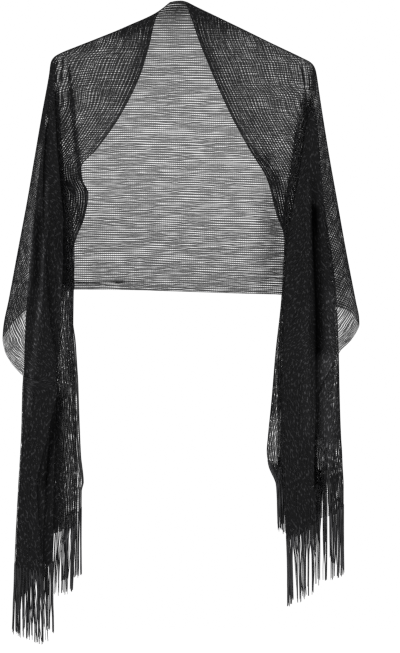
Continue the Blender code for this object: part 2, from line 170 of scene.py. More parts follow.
rightSide = {
    "sign": 1,
    "corner": 475.0,
    "cornerFlat": 0.12,
    "strands": 350,
    "header": (
        (0, 678), (0.06, 683), (0.2, 706), (0.42, 684), (0.665, 750), (0.76, 765), (0.87, 798), (1, 777),
    ),
    "turn": (
        (-9, 11), (-2, 24.5), (10, 49.5), (31, 93), (54, 140), (75, 184), (81, 195.5), (87, 201),
        (95, 204), (106, 206), (120, 208), (160, 214), (228, 225), (287, 235.5), (358, 248),
        (441, 264), (464, 268.5), (475, 269), (483, 266), (498, 256), (513, 240),
    ),
    "edge": (
        (-9, 7), (0, 11), (18, 17.5), (52, 29), (80, 40), (110, 52.5), (160, 75), (214, 104),
        (258, 130), (310, 144), (342, 155), (363, 157), (384, 157), (410, 155), (458, 150.5),
        (517, 147), (600, 145.5), (960, 145.5),
    ),
    "hem": ((0, 425), (0.35, 428), (0.6, 430), (0.74, 435), (0.88, 447), (0.96, 457), (1, 475)),
    "pleats": (
        (106, 176, 184, 191, 198), (146, 199, 182, 201, 194),
        (198, 205, 171.5, 207.5, 186), (258, 209, 164.5, 212, 177),
        (318, 214.5, 157, 219, 166), (378, 220.5, 154.5, 228, 158),
        (438, 228, 151, 234, 156), (517, 231, 142.5, 237, 154),
        (588, 229, 136.5, 238.5, 152), (644, 224, 131, 240.5, 150),
        (663, 222, 129.5, 241.8, 150), (685, 220, 132.5, 242.7, 151),
        (715, 218, 144, 244.2, 153), (805, 216, 147, 244.2, 159),
        (960, 214, 151, 241, 164),
    ),
    "selvedge": ((513, 240), (545, 222), (580, 206), (663, 204), (800, 203), (960, 202)),
    "widthAtTurn": (
        (-9, 0), (0, 14), (8, 28), (15, 40), (31, 70), (45, 95), (58, 115), (69, 133), (81, 152),
        (91, 162), (110, 169), (138, 186), (158, 204), (198, 240), (258, 290), (318, 335),
        (378, 380), (438, 430), (475, 460),
    ),
    "slant": (
        (-9, 0.7), (15, 0.9), (45, 0.96), (100, 0.93), (138, 0.9), (198, 0.85), (240, 0.86),
        (300, 1.0),
    ),
    "folds": (
        (215, 640, 196, 202, 8, 13),
        (260, 760, 172, 176, 14, -5),
    ),
    "creases": (
        (1.4, -0.4, ((74, 183), (100, 188), (132, 191), (152, 192))),
        (1.3, -0.3, ((82, 176), (104, 181), (130, 186), (146, 188))),
        (1.4, 0.45, ((78, 179), (104, 184), (140, 188), (190, 186))),
        (1.4, 0.35, ((80, 189), (104, 192), (140, 194))),
        (4.5, 0.4, ((78, 200), (146, 200))),
        (4, 0.45, ((300, 201), (345, 202), (575, 202))),
        (2.5, 0.25, ((130, 184), (176, 175), (250, 166), (310, 157), (350, 156))),
        (7, -0.45, ((630, 207), (700, 209), (760, 210), (840, 210))),
        (7, -0.24, ((595, 150), (640, 150), (700, 149), (800, 149))),
        (8, 0.14, ((515, 144), (560, 142), (600, 139), (625, 137))),
        (6, -0.12, ((440, 226), (500, 226), (560, 227), (605, 228))),
        (8, 0.22, ((600, 226), (640, 226), (680, 227), (720, 228))),
        (6, 0.2, ((690, 228), (810, 228))),
        (8, 0.3, ((522, 239), (600, 239), (650, 240))),
    ),
    "bands": ((205, 345, 15, 0.4), (345, 1200, 12, 0.95), (145, 345, 70, 0.86)),
    "atShoulder": 0.1,
    "sideBand": (
        (100, 0), (160, 0.5), (415, 0.47), (450, 0.2), (475, 0.3), (495, 0.42), (520, 0.42), (540, 0),
    ),
    "lowOut": 226,
    # painted highlights (+) and painted shade (-) along the folds and the hollows beside them
    "paintedLightShade": (
        (1.2, 9, -0.45, ((250, 194.5), (350, 194.5))),
        (1.2, 9, -0.85, ((285, 194), (340, 194), (378, 195), (417, 196.5), (456, 199), (495, 201.5),
                           (573, 203), (612, 203), (651, 201.5), (690, 201), (730, 201))),
        (8, 8, -0.45, ((290, 203), (340, 204), (378, 205), (417, 207), (456, 209), (495, 211),
                           (525, 211))),
        (4, 4, 0.8, ((250, 189.5), (300, 191.5), (360, 191), (420, 191.5), (470, 193))),
        (9, 4, 0.75, ((440, 190), (500, 191), (560, 192), (650, 192))),
        (9, 9, 1.3, ((415, 227), (460, 227), (500, 226), (545, 224))),
        (13, 13, 1.8, ((515, 220), (560, 220), (610, 221), (690, 222))),
    ),
    "partings": (
        (172.5, 2.6, 800, 905), (177.2, 1.3, 800, 905), (181, 1.5, 770, 812), (189, 1.4, 800, 855),
        (194.5, 1.9, 795, 880), (200.5, 1.5, 800, 876), (211, 1.9, 700, 872), (215, 1.3, 815, 868),
        (221.5, 1.7, 735, 858), (232.5, 1.4, 815, 856), (164.5, 1.2, 770, 800),
    ),
}


def smoothTable(rows):
    # one smooth function for all the columns after the first, which never overshoots its points
    xs = np.array([row[0] for row in rows], float)
    ys = np.array([row[1:] for row in rows], float)
    steps = np.diff(ys, axis=0) / np.diff(xs)[:, None]
    tangents = np.zeros_like(ys)
    tangents[0], tangents[-1] = steps[0], steps[-1]
    a, b = steps[:-1], steps[1:]
    same = a * b > 0
    tangents[1:-1][same] = 2 * (a * b)[same] / (a + b)[same]

    def read(x):
        x = np.clip(np.asarray(x, float), xs[0], xs[-1])
        i = np.clip(np.searchsorted(xs, x, side="right") - 1, 0, len(xs) - 2)
        width = (xs[i + 1] - xs[i])[..., None]
        t = (x - xs[i])[..., None] / width
        return hermite(ys[i], ys[i + 1], tangents[i] * width, tangents[i + 1] * width, t)

    return read


def hermite(a, b, slopeA, slopeB, t):
    return (
        a * (1 - t) ** 2 * (1 + 2 * t) + b * t * t * (3 - 2 * t)
        + slopeA * t * (1 - t) ** 2 - slopeB * t * t * (1 - t)
    )


def ease(t):
    # 0 to 1, with a soft start and end
    t = np.clip(t, 0.0, 1.0)
    return t * t * (3 - 2 * t)


def rise(x, start, length):
    # 0 up to the start, and 1 once past the length
    return ease((x - start) / length)


def arch(t):
    # 0 to 1 along a quarter of a circle
    t = np.clip(t, 0.0, 1.0)
    return np.sqrt(1 - (1 - t) ** 2)


def bump(x, middle, width):
    return np.exp(-((x - middle) / width) ** 2)


class Side:
    # One half of the stole. A place on a front counts its folds from the inner selvedge, which is 0,
    # to the turn line or the outer selvedge, which is "layers".
    def __init__(self, sizes):
        self.sizes, self.sign, self.corner = sizes, sizes["sign"], sizes["corner"]
        names = ("turn", "edge", "selvedge", "hem", "pleats", "header", "widthAtTurn", "slant", "sideBand")
        self.tables = {name: smoothTable(sizes[name]) for name in names}
        self.firstPleat, self.selvedgeStart = sizes["pleats"][0][0], sizes["selvedge"][0][0]
        self.layers = len(sizes["pleats"][0])

    def at(self, name, x):
        return self.tables[name](x)[..., 0]

    def turn(self, drop):
        # out of the line where back and front meet
        return self.at("turn", drop)

    def end(self, drop):
        return np.where(drop < self.selvedgeStart, self.turn(drop), self.at("selvedge", drop))

    def tilt(self, drop, step=2):
        # cosine of the turn line's slant
        across = self.turn(drop + step) - self.turn(drop - step)
        return 2 * step / np.hypot(2 * step, across)

    def toTurn(self, out, drop):
        # how far in from the turn line, square to it
        level = np.minimum(drop, self.corner)
        return (self.turn(level) - out) * self.tilt(level)

    def sideWeight(self, drop):
        # 1 where the cloth comes round the side, and 0 where it hangs free in front
        return 1 - rise(drop, self.corner, drape["tuck"])

    def rounded(self, face, out, drop):
        # depth of the form at its back (face 0) or front (1), round towards the side
        form = formTable(drop)
        flat, side, turnIn = form[..., face], form[..., 2], form[..., 3]
        roundPart = side + (flat - side) * arch(self.toTurn(out, drop) / turnIn)
        return flat + (roundPart - flat) * self.sideWeight(drop)

    def sectionOuts(self, drop):
        # outs of the inner selvedge, the folds and the end; above the first fold they spread evenly
        edge, end = self.at("edge", drop), self.end(drop)
        first, pleats = float(self.firstPleat), self.tables["pleats"]
        firstEdge, firstEnd = self.at("edge", first), self.end(np.array(first))
        shares = (pleats(first) - firstEdge) / (firstEnd - firstEdge)
        upper = edge[:, None] + (end - edge)[:, None] * shares[None, :]
        pleats = np.where((drop >= first)[:, None], pleats(drop), upper)
        return np.concatenate([edge[:, None], pleats, end[:, None]], axis=1)

    def creased(self, out, drop):
        # depth of the soft troughs and ridges
        total = np.zeros_like(out)
        for top, bottom, outTop, outBottom, width, depth in self.sizes["folds"]:
            t = (drop - top) / (bottom - top)
            arc = np.sin(math.pi * np.clip(t, 0, 1)) ** drape["troughEnds"]
            along = np.where((t > 0) & (t < 1), arc, 0)
            across = (out - outTop - (outBottom - outTop) * t) / width
            total += depth * along * np.exp(-across * across)
        toEnd = ease((self.end(drop) - out) / drape["troughFade"])
        return total * np.where(drop < self.selvedgeStart, toEnd, 1.0)

    def frontPoint(self, drop, place):
        # a smooth line through the folds of each level, with a hairpin where it turns back
        drop, place = np.asarray(drop, float).ravel(), np.asarray(place, float).ravel()
        n, last = len(drop), self.layers
        outs = self.sectionOuts(drop)
        form = formTable(drop)
        pitch, weight = form[:, 4], self.sideWeight(drop)
        depths = np.empty_like(outs)
        for i in range(last):
            depths[:, i] = self.rounded(1, outs[:, i], drop) - pitch * max(i - 0.5, 0)  # half for the first
        free = form[:, 1] - pitch * (last - 1)
        depths[:, last] = free + (form[:, 2] - free) * weight
        tanOut, tanDepth = np.zeros_like(outs), np.zeros_like(outs)
        widths, rises = np.diff(outs, axis=1), np.diff(depths, axis=1)
        tanOut[:, 0], tanDepth[:, 0] = widths[:, 0], rises[:, 0]
        reach = drape["sideReach"] * np.abs(widths[:, -1])
        around = np.sqrt(drape["roundSide"] * form[:, 3] * self.tilt(drop) * reach)
        tanOut[:, last] = widths[:, -1] * (1 - weight)
        tanDepth[:, last] = rises[:, -1] + (around - rises[:, -1]) * weight
        for i in range(1, last):
            before, after = widths[:, i - 1], widths[:, i]
            along = (depths[:, i + 1] - depths[:, i - 1]) / 2
            onward = before * after > 0
            both = np.where(np.abs(before + after) > 1e-9, before + after, 1.0)
            narrower = np.minimum(np.abs(before), np.abs(after))
            fold = np.minimum(narrower, drape["foldWidth"]) / drape["foldWidth"]
            hairpin = -np.sqrt(drape["hairpin"] * pitch * (np.abs(before) + np.abs(after)))
            tanOut[:, i] = np.where(onward, 2 * before * after / both, 0.0)
            tanDepth[:, i] = np.where(onward, along, along + (hairpin - along) * fold)
        i = np.minimum(place.astype(int), last - 1)
        k, t = np.arange(n), place - i
        out = hermite(outs[k, i], outs[k, i + 1], tanOut[k, i], tanOut[k, i + 1], t)
        depth = hermite(depths[k, i], depths[k, i + 1], tanDepth[k, i], tanDepth[k, i + 1], t)
        depth = depth + self.creased(out, drop)
        return np.stack([self.sign * out, depth, -drop], axis=1)

    def level(self, row):
        # drop of a row, which is 0 at the neck edge and 1 at the corner
        return drape["apex"] + (self.corner - drape["apex"]) * row

    def backPoint(self, row, share):
        row, share = np.asarray(row, float).ravel(), np.asarray(share, float).ravel()
        drop = drape["apex"] + (self.at("hem", share) - drape["apex"]) * row
        out = self.turn(drop) * share
        fade = np.maximum(1 - (drop - drape["apex"]) / drape["napeFade"], 0)
        lift = drape["napeRise"] * (1 - share * share) * fade
        return np.stack([self.sign * out, self.rounded(0, out, drop), lift - drop], axis=1)

    def widthShare(self, place):
        # share of the cloth's width that lies before a place
        outs = self.sectionOuts(np.array([self.corner + drape["freeLevel"]]))[0]
        sums = np.concatenate([[0], np.cumsum(np.abs(np.diff(outs)))])
        return np.interp(place, np.arange(len(sums)), sums) / sums[-1]

    def headerDrop(self, place):
        return self.at("header", self.widthShare(place))


formTable = smoothTable(drape["form"])
left, right = Side(leftSide), Side(rightSide)

# Threads: where each point of the hung cloth lay in the flat cloth. "along" is measured from the
# middle of the back down the length, "across" from the inner selvedge over the width.

mesh = {
    "sideRows": 150,  # rows from the neck edge down to the side corner
    "belowRows": 84,  # rows from the corner down to the end of the weave
    "backColumns": 80,  # columns from the middle of the back to the side
    "flatColumns": 90,  # columns over the flat part of a front
    "perLayer": 22,  # columns over one layer of a pleat
    "lastLayer": 64,  # and over the outermost one
    "toTip": 0.11,  # how much closer together the rows are at the tip of the shoulder,
    "toSide": 1.6,  # the back's columns towards its side,
    "toFold": 0.5,  # and a front's columns at a fold
    "threadLines": 116,  # long yarns that are followed down the fronts
}


def sideRows():
    t = np.linspace(0, 1, mesh["sideRows"] + 1)
    return t - mesh["toTip"] * np.sin(2 * math.pi * t) / math.pi


def widthAt(side, drop):
    # how much of the cloth's width lies above the turn line
    return np.clip(side.at("widthAtTurn", drop), 0, cut["width"])


def pleated(places):
    # 0 over the flat part of a front and 1 in its pleats
    return rise(places, 0.7, 0.6)[None, :]


def takenUp(side, drop):
    return rise(drop, side.firstPleat, drape["takeUp"])


def backGrid(side):
    rows = sideRows()
    shares = 1 - (1 - np.linspace(0, 1, mesh["backColumns"] + 1)) ** mesh["toSide"]
    r, c = np.meshgrid(rows, shares, indexing="ij")
    points = side.backPoint(r, c).reshape(len(rows), len(shares), 3)
    step = np.linalg.norm(np.diff(points, axis=1), axis=2)
    along = np.concatenate([np.zeros((len(rows), 1)), np.cumsum(step, axis=1)], axis=1)
    return points, along, cut["width"] * r


def frontGrid(side):
    counts = [mesh["flatColumns"]] + [mesh["perLayer"]] * (side.layers - 2) + [mesh["lastLayer"]]
    places = np.concatenate([i + foldSteps(count) for i, count in enumerate(counts)] + [[side.layers]])
    drops = [np.full(len(places), level) for level in side.level(sideRows()[1:])]
    ends = side.headerDrop(places)
    gap = (float(side.headerDrop(0.0)) - side.corner) / mesh["belowRows"]
    for step in range(1, mesh["belowRows"] + 1):  # from level rows to the slanted end of the weave
        t = step / mesh["belowRows"]
        even = side.corner + gap * step
        slant = side.corner + (ends - side.corner) * t
        drops.append(even + (slant - even) * t ** 2)
    drops = np.array(drops)
    points = side.frontPoint(drops, np.broadcast_to(places, drops.shape)).reshape(*drops.shape, 3)
    return points, drops, places


def foldSteps(count):
    # shares along one layer, closer together at its folds
    t = np.arange(count) / count
    return t - mesh["toFold"] * np.sin(2 * math.pi * t) / (2 * math.pi)


def frontThreads(side, points, drops, places, alongSide):
    # alongSide: the back's thread length out to the turn line, for each of the back's rows. The
    # flat part keeps the yarns parallel to the inner selvedge, and the pleats take up the rest.
    step = np.linalg.norm(np.diff(points, axis=1), axis=2)
    top = widthAt(side, drops[:, -1])
    top[drops[:, -1] > side.corner] = cut["width"]
    slant = side.at("slant", drops[:, 0])[:, None]
    rowDrop, between = drops[:, :1], (places[1:] + places[:-1]) / 2
    folded, pleats = takenUp(side, rowDrop), pleated(between)
    flat = step * (1 - pleats) * slant
    rest = step * pleats * (slant + (1 - slant) * folded)
    outermost = ease((between - side.layers + 1.1) / 0.2)[None, :]
    byCorner = rise(rowDrop, *drape["cornerTop"]) * (1 - rise(rowDrop, *drape["cornerBottom"]))
    rest = rest * (1 - side.sizes["cornerFlat"] * outermost * byCorner)  # the open corner lies flatter
    flatSum, restSum = flat.sum(axis=1, keepdims=True), rest.sum(axis=1, keepdims=True)
    even = top[:, None] / (flatSum + restSum)
    flatShare = even + (1 - even) * folded
    step = flat * flatShare + rest * (top[:, None] - flatShare * flatSum) / restSum
    across = np.concatenate([np.zeros((len(points), 1)), np.cumsum(step, axis=1)], axis=1)
    rows = sideRows()
    turnWidths, turnPoints = widthAt(side, side.level(rows)), side.backPoint(rows, np.ones_like(rows))
    lines = np.linspace(0, cut["width"], mesh["threadLines"])
    length, along = np.interp(lines, turnWidths, alongSide), np.zeros(drops.shape)
    previous = np.stack([np.interp(lines, turnWidths, turnPoints[:, i]) for i in range(3)], axis=1)
    for k in range(len(points)):
        here = np.stack([np.interp(lines, across[k], points[k, :, i]) for i in range(3)], axis=1)
        there = lines <= top[k] + 1e-6
        stepped = np.linalg.norm(here - previous, axis=1)
        length = np.where(there, length + stepped, length)
        previous = np.where(there[:, None], here, previous)
        along[k] = np.interp(across[k], lines[there], length[there])
    return along, across


# How close together the yarns lie, where 1 is usual, mostly given by the share of the usual light
# that the cloth lets through. A start or end comes with how many mm the change takes from there.

closer = {
    "perLight": 0.38,  # how much closer the yarns lie where no light comes through
    "loosest": 0.5,
    "back": (  # drop, and the share of light let through there
        (-9, 0.45), (3, 0.5), (12, 0.66), (24, 0.8), (40, 0.92), (84, 0.94), (120, 0.98), (160, 1.0),
        (190, 1.1), (237, 1.08), (282, 1.0), (314, 0.94), (363, 0.9), (400, 0.88), (430, 0.86),
    ),
    "hem": (0.12, 9, 434),  # light lost by the hem, how far from it, and its drop from the neck edge
    "stripe": (0.6, 411, 2.6, 45, 50),  # light lost above the left hem, drop, half width, start out
    "tail": (0.33, 12, (100, 45), (255, 45)),  # by the right tail, how far past it, starts out and down
    # over a front, from the inner selvedge: share of light at it, what is added over the first mm,
    # over how many, what is added further in, from where, and over how many
    "upper": (0.46, 0.36, 22, 0.66, 30, 34),
    "lower": (0.62, 0.24, 10, 0.22, 38, 14),
    "lowerStart": (110, 60),
    "bandFades": (25, 8),  # how softly a band ends down the cloth and over it
    "neck": (0.4, 5, 38),  # light lost by the neck, at what drop, and how far round it
    "side": (0.3, 8),  # light lost at the side of a front, and how far in
    "sideBand": (40, 24),  # how far in its band ends, and how softly
    "lowEnd": (0.35, 60, 60),  # light lost in the outer part of the low end, start below the corner
    "turned": (0.22, 2.0),  # how much closer where the cloth turns, and how far in
    "pressed": (0.4, 0.3, 62, 20),  # the same on the pressed fold over the shoulder, and its end
    "shoulderEnds": ((4, 20), (60, 40)),  # how far in and down the closer yarns of the shoulder end
    # how much closer at a fold of a pleat, over how much of a layer, and start below the first pleat
    "atFold": (0.8, 0.045, 20, 60),
    "besideFold": (0.3, 7, 150, 90),  # how much looser beside the top of the folds, how far, and end
    "stacked": (0.34, (3, 1.2), (10, 70)),  # how much closer over so many layers, and start
}

backLight = smoothTable(closer["back"])
creaseFade = 20.0  # how far a crease or a light or dark line fades in and out at its ends


def closeFor(light):
    return 1 + (1 - light) * closer["perLight"]


def overTurn(inward, drop):
    # a pressed fold over the shoulder, softer down the side
    (turned, width), (pressed, pressedWidth, *end) = closer["turned"], closer["pressed"]
    overShoulder = 1 - rise(drop, *end)
    return 1 + turned * bump(inward, 0, width) + pressed * overShoulder * bump(inward, 0, pressedWidth)


def backCloseness(side, points, rows):
    out, drop = np.abs(points[..., 0]), -points[..., 2]
    lost, width, level = closer["hem"]
    light = backLight(drop)[..., 0] * (1 - lost * bump((1 - rows) * level, 0, width))
    if side is left:
        lost, level, width, *start = closer["stripe"]
        light = light * (1 - lost * bump(drop, level, width) * rise(out, *start))
    if side is right:
        lost, past, fromOut, fromDrop = closer["tail"]
        byTail = rise(out, *fromOut) * rise(drop, *fromDrop) * (out < side.at("edge", drop) + past)
        light = light * (1 - lost * byTail)
    return np.maximum(closeFor(light), overTurn(side.toTurn(out, drop), drop))


def pleatCrowd(side, out, drop, places):
    # how many layers of the front lie over each other at each point, how near a fold is, and
    # whether the nearest column of the pleats is a fold at all
    crowd, beside, isFold = np.zeros_like(out), np.zeros_like(out), np.zeros_like(out)
    near, columns = np.round(places).astype(int), np.arange(len(places))
    for k in range(len(drop)):
        outs = side.sectionOuts(drop[k])
        low, high = np.minimum(outs[:, 1:], outs[:, :-1]), np.maximum(outs[:, 1:], outs[:, :-1])
        here = out[k][:, None]
        crowd[k] = np.clip(np.minimum(here - low, high - here) / 7 + 0.5, 0, 1).sum(axis=1)
        turns = outs[columns, near]
        before = turns - outs[columns, np.maximum(near - 1, 0)]
        after = outs[columns, np.minimum(near + 1, side.layers)] - turns
        isFold[k] = before * after < 0
        beside[k] = bump(out[k] - turns, 0, closer["besideFold"][1]) * isFold[k]
    return crowd, beside * rise(drop, side.firstPleat, 20), isFold


def fromSelvedge(toEdge, atEdge, first, firstWidth, more, start, width):
    return atEdge + first * rise(toEdge, 0, firstWidth) + more * rise(toEdge, start, width)


def fadeEnds(drop, top, bottom, length):
    return rise(drop, top, length) * ease((bottom - drop) / length)


def frontCloseness(side, points, drop, places, across):
    # closer along the inner selvedge, up by the neck, in creases and where folds turn
    out, toEdge = side.sign * points[..., 0], np.maximum(across, 0)
    inward = side.toTurn(out, drop)
    onSide = np.where(drop <= side.corner, 1.0, 0.0)
    belowShoulder = rise(drop, *closer["lowerStart"])
    upper, lower = fromSelvedge(toEdge, *closer["upper"]), fromSelvedge(toEdge, *closer["lower"])
    light = upper + (lower - upper) * belowShoulder
    lost, level, width = closer["neck"]
    light = light * (1 - lost * bump(drop, level, width))
    downFade, overFade = closer["bandFades"]
    for top, bottom, width, share in side.sizes["bands"]:
        within = fadeEnds(drop, top, bottom, downFade) * (1 - rise(toEdge, width, overFade))
        light = light * (1 - (1 - share) * within)
    light = 1 + (light - 1) * (1 - pleated(places) * takenUp(side, drop))
    width, fade = closer["sideBand"]
    light = light * (1 - side.at("sideBand", drop) * ease((width - inward) / fade))
    lost, width = closer["side"]
    light = light * (1 - lost * bump(inward, 0, width) * onSide * belowShoulder)
    lost, *start = closer["lowEnd"]
    low = rise(drop - side.corner, *start)
    light = light * (1 - lost * low * rise(out, side.sizes["lowOut"], 10))

    close = np.maximum(closeFor(light), overTurn(inward, drop) * onSide)
    inEnd, downEnd = closer["shoulderEnds"]
    close = close + side.sizes["atShoulder"] * (1 - rise(inward, *inEnd)) * (1 - rise(drop, *downEnd))
    crowd, beside, isFold = pleatCrowd(side, out, drop, places)
    belowFirst = drop - side.firstPleat
    atFold, width, *start = closer["atFold"]
    nearFold = bump(np.abs(places - np.round(places)), 0, width)[None, :]
    close = close + atFold * nearFold * isFold * rise(belowFirst, *start)
    stacked, many, start = closer["stacked"]
    crowding = rise(crowd, *many) * (places > 1.1)[None, :]  # but not on the flat part
    close = close + stacked * crowding * rise(belowFirst, *start)
    looser, width, *end = closer["besideFold"]
    close = close - looser * beside * (1 - rise(drop, *end))
    for width, amount, line in side.sizes["creases"]:
        fade = fadeEnds(drop, line[0][0], line[-1][0], creaseFade)
        close = close + amount * fade * bump(out, smoothTable(line)(drop)[..., 0], width)
    return np.maximum(close, closer["loosest"])


def frontPaintedLightShade(side, points, drop):
    # painted light and shade on the yarns: a painted highlight on the edge of a fold, painted shade in the
    # hollow beside it
    out, total = side.sign * points[..., 0], np.ones(drop.shape)
    for inner, outer, amount, line in side.sizes["paintedLightShade"]:
        away = out - smoothTable(line)(drop)[..., 0]
        fade = fadeEnds(drop, line[0][0], line[-1][0], creaseFade)
        total += amount * fade * bump(away, 0, np.where(away < 0, inner, outer))
    return np.maximum(total, 0.1)


def clothMesh(name, points, along, across, span, closeness, paintedLightShade):
    # a single sheet of quads, with the flat cloth, along and across, in its UV map
    rows, columns = along.shape
    verts = points.reshape(-1, 3) * mm
    corners = [r * columns + c for r in range(rows - 1) for c in range(columns - 1)]
    faces = [(a, a + columns, a + columns + 1, a + 1) for a in corners]
    made = bpy.data.meshes.new(name)
    made.from_pydata(verts.tolist(), [], faces)
    low, size = span
    u, v = (along.ravel() - low) / size, across.ravel() / cut["width"]
    flat = made.uv_layers.new(name="threads")
    loops = np.array(faces).ravel()
    flat.data.foreach_set("uv", np.stack([u[loops], v[loops]], axis=1).ravel())
    # closeness, and the painted light and shade of the folds, kept on each point
    for label, values in (("closeness", closeness), ("paintedLightShade", paintedLightShade)):
        kept = made.attributes.new(label, "FLOAT", "POINT")
        kept.data.foreach_set("value", values.ravel())
    made.shade_smooth()
    obj = bpy.data.objects.new(name, made)
    bpy.context.collection.objects.link(obj)
    return obj


class Finish:
    # a new material and its nodes
    def __init__(self, name, roughness, specular=0.5):
        self.material = bpy.data.materials.new(name)
        self.material.use_nodes = True
        self.tree = self.material.node_tree
        self.inputs = self.tree.nodes["Principled BSDF"].inputs
        self.inputs["Roughness"].default_value = roughness
        self.inputs["Specular IOR Level"].default_value = specular

    def add(self, kind, **settings):
        node = self.tree.nodes.new("ShaderNode" + kind)
        for name, value in settings.items():
            setattr(node, name, value)
        return node

    def put(self, value, socket):
        if isinstance(value, bpy.types.NodeSocket):
            self.tree.links.new(value, socket)
        else:
            socket.default_value = value

    def calc(self, operation, *values, clamp=False):
        node = self.add("Math", operation=operation, use_clamp=clamp)
        for value, socket in zip(values, node.inputs):
            self.put(value, socket)
        return node.outputs[0]

    def spread(self, *values, smooth=False):
        # a value, the range it has, and the range it gets
        node = self.add("MapRange", interpolation_type="SMOOTHSTEP" if smooth else "LINEAR")
        for value, name in zip(values, ("Value", "From Min", "From Max", "To Min", "To Max")):
            self.put(value, node.inputs[name])
        return node.outputs["Result"]

    def noise(self, vector, detail=1.0, dimensions="2D"):
        node = self.add("TexNoise", noise_dimensions=dimensions)
        for name, value in (("Scale", 1.0), ("Detail", detail), ("Vector", vector)):
            self.put(value, node.inputs[name])
        return node.outputs["Fac"]

    def mix(self, share, dark, light):
        node = self.add("Mix", data_type="RGBA", clamp_factor=False)
        for name, value in (("Factor", share), ("A", dark), ("B", light)):
            self.put(value, node.inputs[name])
        return node.outputs["Result"]


weave = {
    "pitch": 3.72,  # from one pair of long yarns to the next, mm
    "yarn": 1.57,  # width of a long yarn
    "thinnest": 0.85,  # its least share of that width,
    "fuzz": (5.0, 1.3, 0.3),  # and length, width and strength of the fuzz that adds to it
    "dense": 0.88,  # how much light a long yarn stops
    "denser": 0.5,  # and how much more of it where the yarns lie closer
    "yarnEdge": 0.05,  # how soft its edge is
    "sway": (90.0, 30.0, 1.2),  # length, width and strength of the long yarns' slow sway
    "crossPitch": 3.05,  # from one cross thread to the next
    "crossThread": 0.5,  # width of a cross thread
    "crossEdge": 0.04,
    "lean": (60.0, 40.0, 1.5),  # length, width and strength of the cross threads' sway
    "even": 0.25,  # how far the two yarns of a pair stay together everywhere
    "partBack": 3.2,  # how strongly the pairs part and bunch on top of that, over the back
    "partFront": 4.5,  # and at the front
    "partMost": 0.9,
    "partLength": 42.0,  # how far such a gap runs
    "partClose": (1.0, 1.45, 1.0, 0.12),  # a range of closeness, and how much of it is left there
    "calm": 0.6,  # how much of it is left by the inner selvedge
    "calmBack": 130.0,  # how far in from there it is less, over the back
    "calmFront": 45.0,  # and at the front by the neck
    "calmAlong": (200.0, 290.0),  # from where to where down a front that ends
    "selvedge": 2.2,  # width of the cord at each selvedge
    "innerCord": 0.95,  # how much light it stops
    "outerCord": 0.4,
    "black": (0.0098, 0.0098, 0.0102, 1.0),
    # colour of the painted glints, a painted highlight in the base colour
    "glint": (0.045, 0.045, 0.047, 1.0),
    "glintSize": (5.2, 2.8),  # along and across
    "glintNoise": (0.56, 0.86),  # from where to where in the noise they grow bright
    "glintClose": (1.5, 1.8, 1.0, 0.3),  # a range of closeness, and how much of them is left there, a painted shade where the yarns lie closest
    "glintGain": 2.6,  # how much stronger the painted glints are in the lightest painted lines
    "lightGain": 3.2,  # and how much the painted highlight lightens the yarns there
    "lightest": 6.0,  # the most that the painted light and shade goes up to
}


